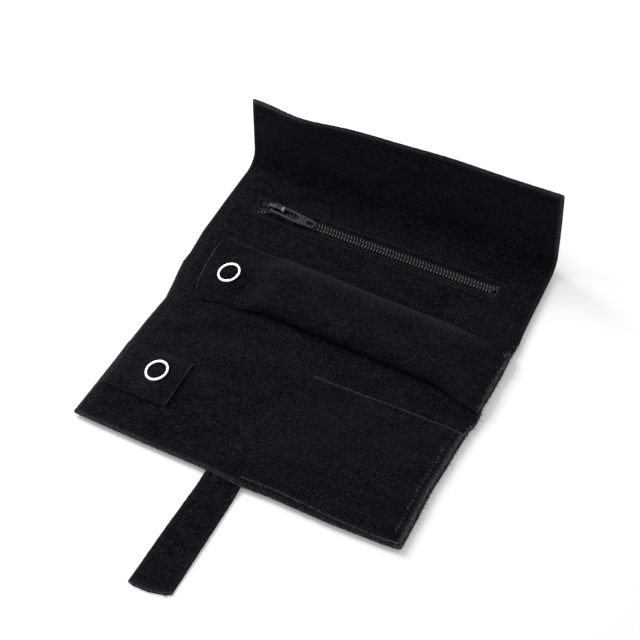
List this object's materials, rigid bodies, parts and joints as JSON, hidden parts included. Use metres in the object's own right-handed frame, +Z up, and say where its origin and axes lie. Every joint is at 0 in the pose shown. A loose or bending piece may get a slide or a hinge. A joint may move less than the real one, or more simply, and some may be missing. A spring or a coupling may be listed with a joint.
{
  "type": "jewelry roll",
  "caption": "Soft velvet travel roll for jewelry, lying open: zip pocket, snapped ring roll, snapped necklace tab, slip pocket, end flap and closing strap.",
  "frame": {"origin": "on the table under the middle of the open roll, strap and standing flap included", "axes": "+X to the right across the panel, +Y from the strap towards the flap, +Z up out of the lining"},
  "size_m": [0.148, 0.2262, 0.0495],
  "materials": {
    "velvet": "black cotton velveteen with a short nap",
    "wadding": "white polyester wadding",
    "zip_cloth": "black woven tape and pocketing",
    "nylon": "black nylon coil, semi-gloss",
    "enamel": "dark grey baked enamel",
    "nickel": "bright nickel plate"
  },
  "bodies": {
    "middle": {"outer_cover_middle": "velvet", "lining_middle": "velvet", "wadding_middle": "wadding", "roll_snap_stud": "nickel", "roll_snap_back_ring": "nickel"},
    "upper_spine": {"outer_cover_upper_spine": "velvet", "lining_upper_spine": "velvet"},
    "upper": {"outer_cover_upper": "velvet", "lining_upper": "velvet", "zip_pocket_bag": "zip_cloth", "zip_tape_upper": "zip_cloth", "zip_tape_lower": "zip_cloth", "zip_coil_upper": "nylon", "zip_coil_lower": "nylon"},
    "flap": {"outer_cover_flap": "velvet", "lining_flap": "velvet", "wadding_flap": "wadding"},
    "lower_spine": {"outer_cover_lower_spine": "velvet", "lining_lower_spine": "velvet"},
    "lower": {"outer_cover_lower": "velvet", "lining_lower": "velvet", "wadding_lower": "wadding", "slip_pocket": "velvet", "tab_snap_stud": "nickel", "tab_snap_back_ring": "nickel"},
    "strap_root": {"strap_root": "velvet"},
    "strap_tip": {"strap_tip": "velvet"},
    "ring_roll": {"ring_roll": "velvet", "ring_roll_filling": "wadding", "roll_snap_cap_ring": "nickel", "roll_snap_socket": "nickel"},
    "necklace_tab": {"necklace_tab": "velvet", "tab_snap_cap_ring": "nickel", "tab_snap_socket": "nickel"},
    "zip_slider": {"zip_slider": "enamel"},
    "zip_puller": {"zip_puller": "enamel"}
  },
  "joints": [
    {"name": "upper_spine_fold", "type": "hinge", "parent": "middle", "child": "upper_spine", "pos_m": [0, 0.0574, 0.0099], "axis": [1, 0, 0], "range_deg": [0, 88]},
    {"name": "upper_panel_fold", "type": "hinge", "parent": "upper_spine", "child": "upper", "pos_m": [0, 0.0654, 0.0099], "axis": [1, 0, 0], "range_deg": [0, 88]},
    {"name": "flap_fold", "type": "hinge", "parent": "upper", "child": "flap", "pos_m": [0, 0.1089, 0.0042], "axis": [1, 0, 0], "range_deg": [-88, 77.5]},
    {"name": "lower_spine_fold", "type": "hinge", "parent": "middle", "child": "lower_spine", "pos_m": [0, 0.0174, 0.0144], "axis": [-1, 0, 0], "range_deg": [0, 88]},
    {"name": "lower_panel_fold", "type": "hinge", "parent": "lower_spine", "child": "lower", "pos_m": [0, 0.0084, 0.0144], "axis": [-1, 0, 0], "range_deg": [0, 88]},
    {"name": "strap_fold", "type": "hinge", "parent": "lower", "child": "strap_root", "pos_m": [0, -0.05325, 0.0021], "axis": [-1, 0, 0], "range_deg": [0, 88]},
    {"name": "strap_tip_fold", "type": "hinge", "parent": "strap_root", "child": "strap_tip", "pos_m": [0, -0.0891, 0.0021], "axis": [-1, 0, 0], "range_deg": [0, 88]},
    {"name": "ring_roll_lift", "type": "hinge", "parent": "middle", "child": "ring_roll", "pos_m": [0.074, 0.0374, 0.0042], "axis": [0, -1, 0], "range_deg": [-165, 0]},
    {"name": "necklace_tab_lift", "type": "hinge", "parent": "lower", "child": "necklace_tab", "pos_m": [-0.074, -0.0214, 0.0042], "axis": [0, 1, 0], "range_deg": [-160, 0]},
    {"name": "zip_slide", "type": "slide", "parent": "upper", "child": "zip_slider", "axis": [1, 0, 0], "range_m": [0, 0.102], "deforming": ["zip_coil_upper", "zip_coil_lower"]},
    {"name": "puller_swing", "type": "hinge", "parent": "zip_slider", "child": "zip_puller", "pos_m": [-0.052, 0.0852, 0.00645], "axis": [0, -1, 0], "range_deg": [0, 178]}
  ]
}
